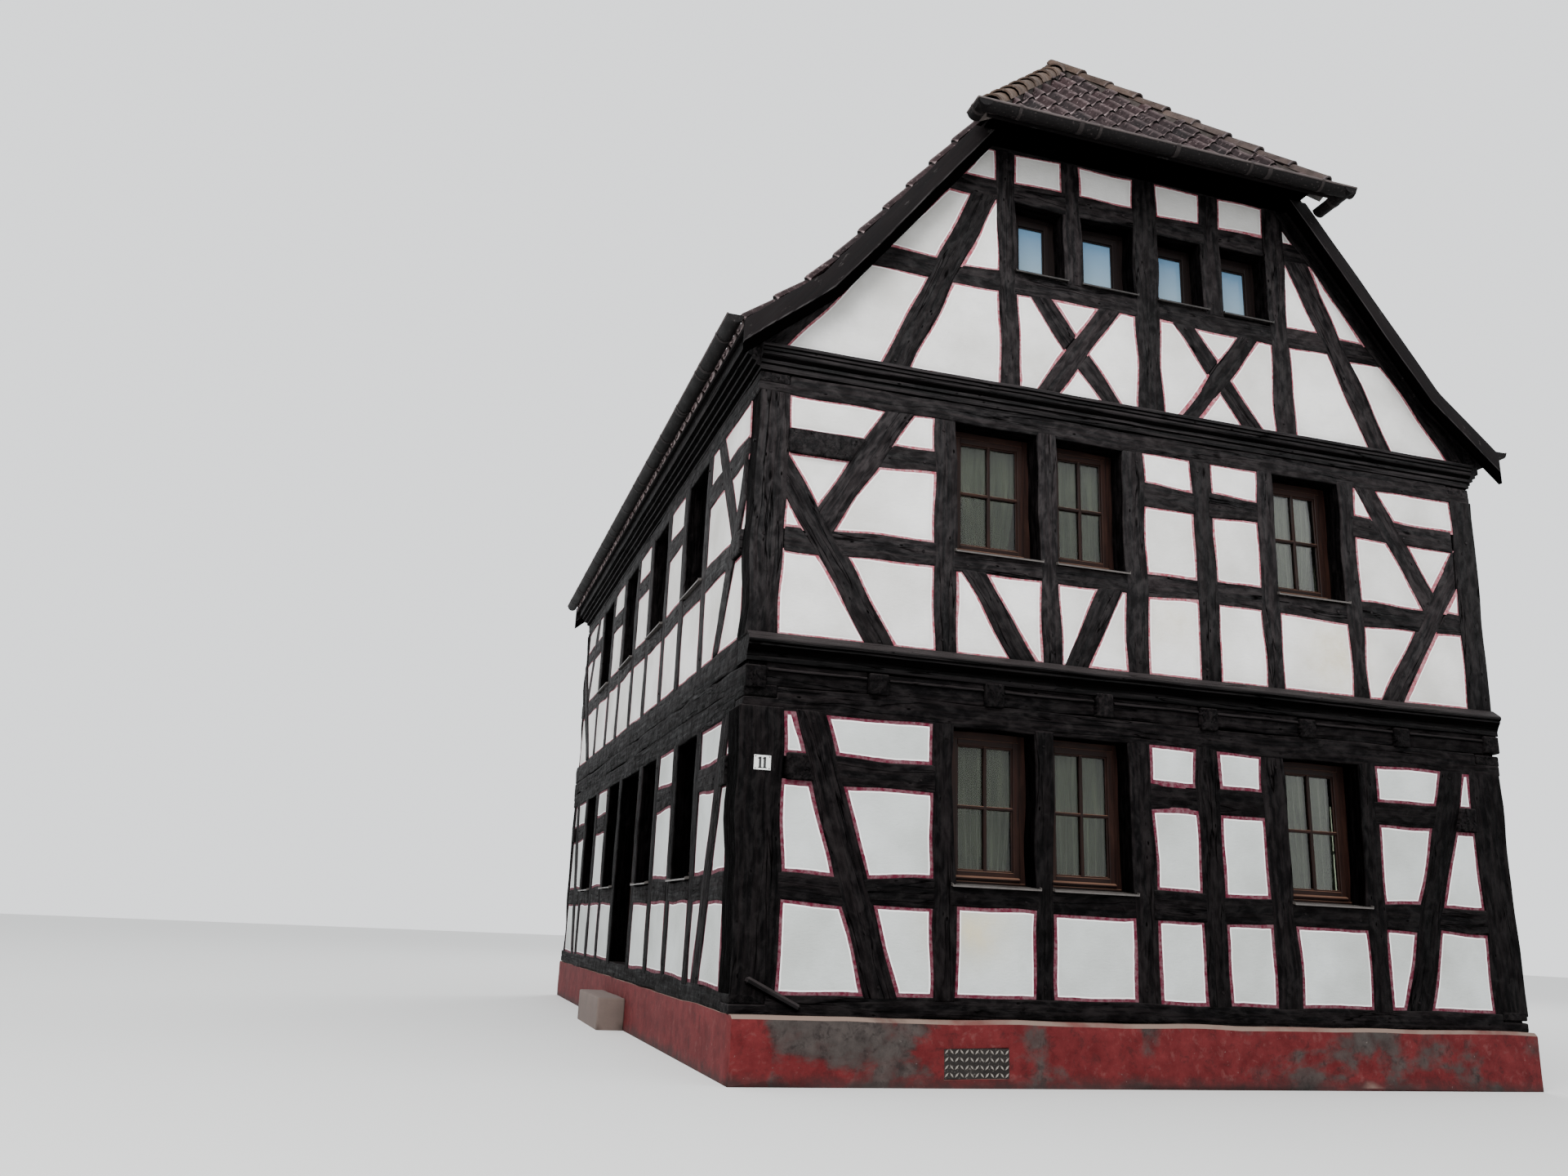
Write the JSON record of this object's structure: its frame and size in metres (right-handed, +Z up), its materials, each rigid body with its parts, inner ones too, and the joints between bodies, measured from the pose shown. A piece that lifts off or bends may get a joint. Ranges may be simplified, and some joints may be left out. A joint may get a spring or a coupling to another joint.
{
  "type": "half timbered house",
  "caption": "Two-storey half-timbered house, gable to the street, with dark timbers, white plaster panels, brown casement windows, red rendered plinth and half-hipped tiled roof.",
  "frame": {"origin": "middle of the footprint at the foot of the plinth", "axes": "+X to the right along the street front, +Y from the street into the plot, +Z up"},
  "size_m": [7.12, 10.24, 9.524],
  "materials": {
    "timber": "rough, dark stained, hewn",
    "plaster": "matt lime plaster",
    "render_plinth": "worn painted render",
    "hatch_steel": "chequered, dull",
    "plate_enamel": "white enamel",
    "window_wood": "brown varnish",
    "window_glass": "clear",
    "sill_wood": "weathered, with a pale edge",
    "door_wood": "brown boards",
    "roof_tiles": "weathered clay",
    "gutter_metal": "dark brown",
    "floor_wood": "plain boards"
  },
  "bodies": {
    "root": {"attic_floor": "floor_wood", "bargeboards": "timber", "capping_tiles": "roof_tiles", "cellar_hatch": "hatch_steel", "cross_braces_falling": "timber", "cross_braces_rising": "timber", "door_frame": "window_wood", "door_leaf": "door_wood", "door_step": "render_plinth", "eaves_cornices": "timber", "eaves_gutters": "gutter_metal", "floor_joists": "timber", "gable_bands": "timber", "gable_braces": "timber", "gable_infill": "plaster", "gable_posts": "timber", "gable_rails": "timber", "gable_top_plates": "timber", "ground_braces": "timber", "ground_corner_posts": "timber", "ground_floor": "floor_wood", "ground_infill": "plaster", "ground_plate_gable_beams": "timber", "ground_plate_side_beams": "timber", "ground_posts": "timber", "ground_rails": "timber", "ground_sill_gable_beams": "timber", "ground_sill_side_beams": "timber", "half_hips": "roof_tiles", "hip_eaves_boxes": "timber", "hip_gutters": "gutter_metal", "joist_fillers": "timber", "number_plate": "plate_enamel", "plinth": "render_plinth", "roof_slope_far": "roof_tiles", "roof_slope_yard": "roof_tiles", "upper_braces": "timber", "upper_corner_posts": "timber", "upper_floor": "floor_wood", "upper_infill": "plaster", "upper_plate_gable_beams": "timber", "upper_plate_side_beams": "timber", "upper_posts": "timber", "upper_rails": "timber", "upper_short_braces": "timber", "upper_sill_gable_beams": "timber", "upper_sill_side_beams": "timber", "upper_struts": "timber", "verge_rafters": "timber", "window_frames": "window_wood", "window_glass": "window_glass", "window_sashes": "window_wood", "window_sills": "sill_wood"}
  },
  "joints": []
}
